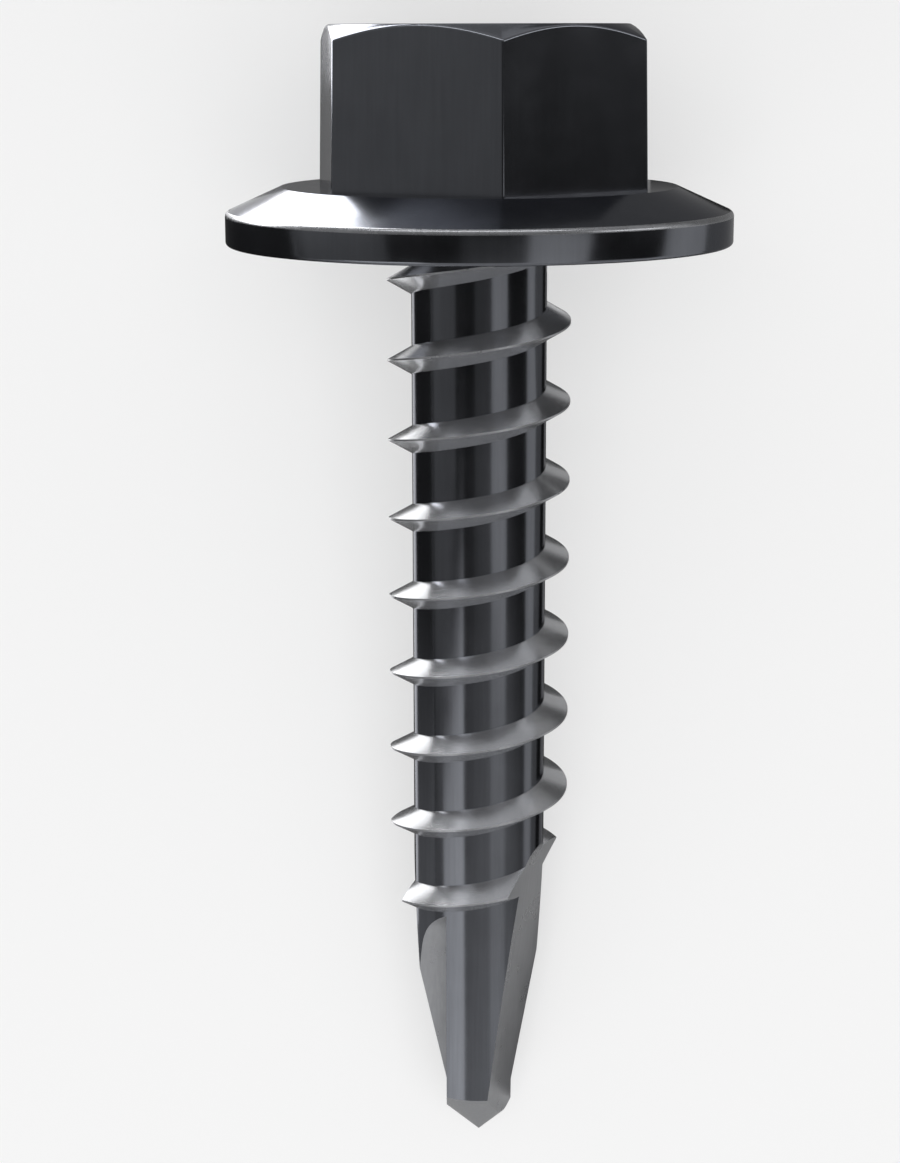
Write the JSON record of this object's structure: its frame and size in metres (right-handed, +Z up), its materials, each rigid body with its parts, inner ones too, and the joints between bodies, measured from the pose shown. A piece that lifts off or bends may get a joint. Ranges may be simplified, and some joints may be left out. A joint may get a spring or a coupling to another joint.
{
  "type": "hex flange head self-drilling screw",
  "caption": "Self-drilling screw with a hexagonal head forged on a wide conical flange, a coarse sharp thread up to the flange and a fluted drill point.",
  "frame": {"origin": "middle of the bottom of the screw's box, on the surface that it lies on", "axes": "+Y from the drill point towards the head, +Z up; the screw lies on the flange's rim and the drill point, so its axis rises 11.6 degrees towards the head"},
  "size_m": [0.0132, 0.0308, 0.013],
  "materials": {
    "dark_steel": "dark polished steel"
  },
  "bodies": {
    "root": {"screw": "dark_steel"}
  },
  "joints": []
}
